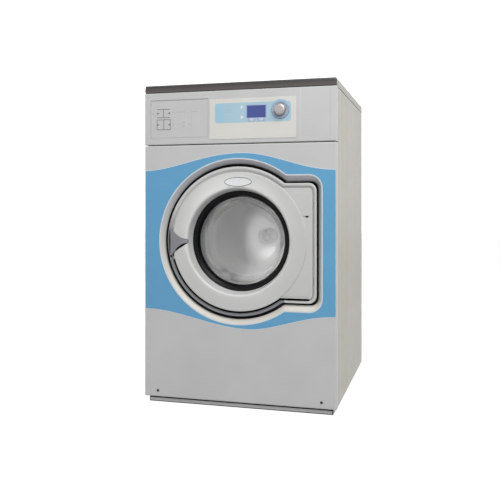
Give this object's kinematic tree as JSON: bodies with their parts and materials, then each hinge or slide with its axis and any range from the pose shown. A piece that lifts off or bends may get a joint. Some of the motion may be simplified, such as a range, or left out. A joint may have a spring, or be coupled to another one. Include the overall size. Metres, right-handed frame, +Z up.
{
  "type": "washer-extractor",
  "caption": "Free-standing front-loading washer-extractor with a round glazed door, sprung tub, driven perforated drum and a control panel.",
  "frame": {"origin": "centre of the bounding box on the floor, under the feet", "axes": "+Z up, +X to the right as seen from the front, the door and controls face -Y"},
  "size_m": [0.68, 0.786, 1.115],
  "materials": {
    "light_paint": "satin powder coat",
    "door_grey": "satin moulded",
    "blue_foil": "satin printed film",
    "handle_grey": "satin moulded",
    "dark_trim": "satin moulded",
    "black_rubber": "matte",
    "white_film": "satin film",
    "display_blue": "glossy",
    "stainless": "brushed",
    "galvanised": "zinc coated, dull",
    "cast_metal": "as cast",
    "cast_iron": "painted casting",
    "glass": "clear",
    "plastic": "matte",
    "board_green": "satin"
  },
  "bodies": {
    "cabinet": {"base_frame": "galvanised", "foot_front_left": "black_rubber", "foot_front_right": "black_rubber", "foot_rear_left": "black_rubber", "foot_rear_right": "black_rubber", "front_panel": "light_paint", "front_band": "blue_foil", "side_panel_left": "light_paint", "side_panel_right": "light_paint", "rear_panel": "galvanised", "service_cover": "galvanised", "top_panel": "light_paint", "top_trim": "dark_trim", "top_brace": "galvanised", "control_fascia": "light_paint", "display_overlay": "white_film", "display_window": "display_blue", "dial_bezel": "stainless", "control_board": "board_green", "soap_box": "plastic", "lock_box": "plastic", "hinge_bracket": "cast_metal", "door_gasket": "black_rubber", "spring_left": "stainless", "spring_right": "stainless", "damper_cylinder_left": "galvanised", "damper_cylinder_right": "galvanised", "inlet_valves": "plastic", "fill_hose": "black_rubber", "sump_hose": "black_rubber", "drain_valve": "plastic", "motor_drive": "plastic", "cable_gland": "plastic"},
    "door": {"door_cover": "door_grey", "door_frame": "cast_metal", "window_ring": "black_rubber", "door_glass": "glass"},
    "handle": {"door_handle": "handle_grey"},
    "lock": {"lock_bolt": "stainless"},
    "soap_flap": {"soap_lid": "light_paint"},
    "left_key": {"soft_key_left": "white_film"},
    "right_key": {"soft_key_right": "white_film"},
    "dial_shaft": {"encoder_shaft": "stainless"},
    "dial": {"selector_knob": "stainless"},
    "tub": {"outer_tub": "stainless", "counterweight": "cast_iron", "bearing_housing": "cast_iron", "bearing_front": "stainless", "bearing_rear": "stainless", "heating_element": "stainless", "motor_housing": "cast_metal", "drive_belt": "black_rubber"},
    "drum": {"drum_shell": "stainless", "drum_back_disc": "stainless", "drum_lifter_1": "stainless", "drum_lifter_2": "stainless", "drum_lifter_3": "stainless", "hub_cap": "stainless", "drum_pulley": "cast_metal"},
    "rotor": {"motor_rotor": "stainless"}
  },
  "joints": [
    {"name": "door_swing", "type": "hinge", "parent": "cabinet", "child": "door", "pos_m": [0.264, -0.36, 0.57], "axis": [0, 0, 1], "range_deg": [0, 115]},
    {"name": "handle_pull", "type": "hinge", "parent": "door", "child": "handle", "pos_m": [-0.229, -0.3655, 0.566], "axis": [0, 0, -1], "range_deg": [0, 15], "stiffness_Nm_per_rad": 1, "springref_deg": -8.59},
    {"name": "lock_throw", "type": "slide", "parent": "cabinet", "child": "lock", "axis": [1, 0, 0], "range_m": [0, 0.014], "stiffness_N_per_m": 120, "springref_m": -0.006},
    {"name": "soap_lid_open", "type": "hinge", "parent": "cabinet", "child": "soap_flap", "pos_m": [0, -0.1265, 1.1107], "axis": [-1, 0, 0], "range_deg": [0, 95]},
    {"name": "left_key_press", "type": "slide", "parent": "cabinet", "child": "left_key", "axis": [0, 1, 0], "range_m": [0, 0.0008], "stiffness_N_per_m": 1500, "springref_m": -0.0006},
    {"name": "right_key_press", "type": "slide", "parent": "cabinet", "child": "right_key", "axis": [0, 1, 0], "range_m": [0, 0.0008], "stiffness_N_per_m": 1500, "springref_m": -0.0006},
    {"name": "dial_press", "type": "slide", "parent": "cabinet", "child": "dial_shaft", "axis": [0, 1, 0], "range_m": [0, 0.0015], "stiffness_N_per_m": 1500, "springref_m": -0.0008},
    {"name": "dial_turn", "type": "hinge", "parent": "dial_shaft", "child": "dial", "pos_m": [0.152, -0.374, 1.014], "axis": [0, 1, 0], "continuous": true},
    {"name": "tub_travel", "type": "slide", "parent": "cabinet", "child": "tub", "axis": [0, 0, 1], "range_m": [-0.02, 0.015], "stiffness_N_per_m": 60000, "springref_m": 0.0112, "deforming": ["door_gasket", "spring_left", "spring_right", "fill_hose", "sump_hose"]},
    {"name": "drum_turn", "type": "hinge", "parent": "tub", "child": "drum", "pos_m": [0, 0.106, 0.57], "axis": [0, 1, 0], "continuous": true},
    {"name": "rotor_turn", "type": "hinge", "parent": "tub", "child": "rotor", "pos_m": [0.15, 0.238, 0.19], "axis": [0, 1, 0], "continuous": true}
  ],
  "couplings": [
    {"joint": "rotor_turn", "follows": "drum_turn", "ratio": 7.5}
  ]
}
